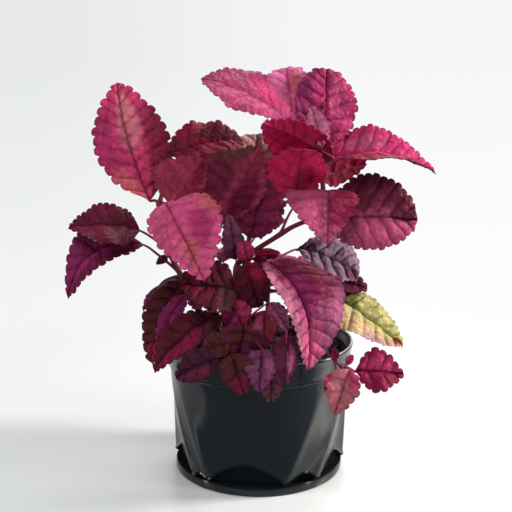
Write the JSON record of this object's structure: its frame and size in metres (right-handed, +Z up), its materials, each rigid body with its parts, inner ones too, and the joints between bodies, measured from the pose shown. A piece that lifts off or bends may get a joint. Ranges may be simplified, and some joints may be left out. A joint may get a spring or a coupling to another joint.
{
  "type": "potted coleus",
  "caption": "Leggy coleus with toothed magenta and burgundy leaves on several leafy stems, growing in soil in a glossy black pot with a plain band and draped sides.",
  "frame": {"origin": "centre of the pot's flat underside", "axes": "+Z is up, -Y is the front with the small leaves hanging over the rim, +X is the side with the rooted sprig"},
  "size_m": [0.2713, 0.1756, 0.302],
  "materials": {
    "pot_plastic": "moulded glossy black plastic",
    "potting_mix": "damp dark potting mix",
    "pink_leaf": "soft toothed leaf, magenta pink with ribs",
    "burgundy_leaf": "soft toothed leaf, dusky burgundy"
  },
  "bodies": {
    "root": {"pot": "pot_plastic", "potting_soil": "potting_mix", "right_stem": "pink_leaf", "left_stem": "pink_leaf", "centre_stem": "burgundy_leaf", "front_right_stem": "pink_leaf", "front_left_stem": "burgundy_leaf", "low_front_stem": "burgundy_leaf", "low_right_stem": "burgundy_leaf", "right_sprig": "pink_leaf", "back_left_stem": "burgundy_leaf", "back_right_stem": "burgundy_leaf"}
  },
  "joints": []
}
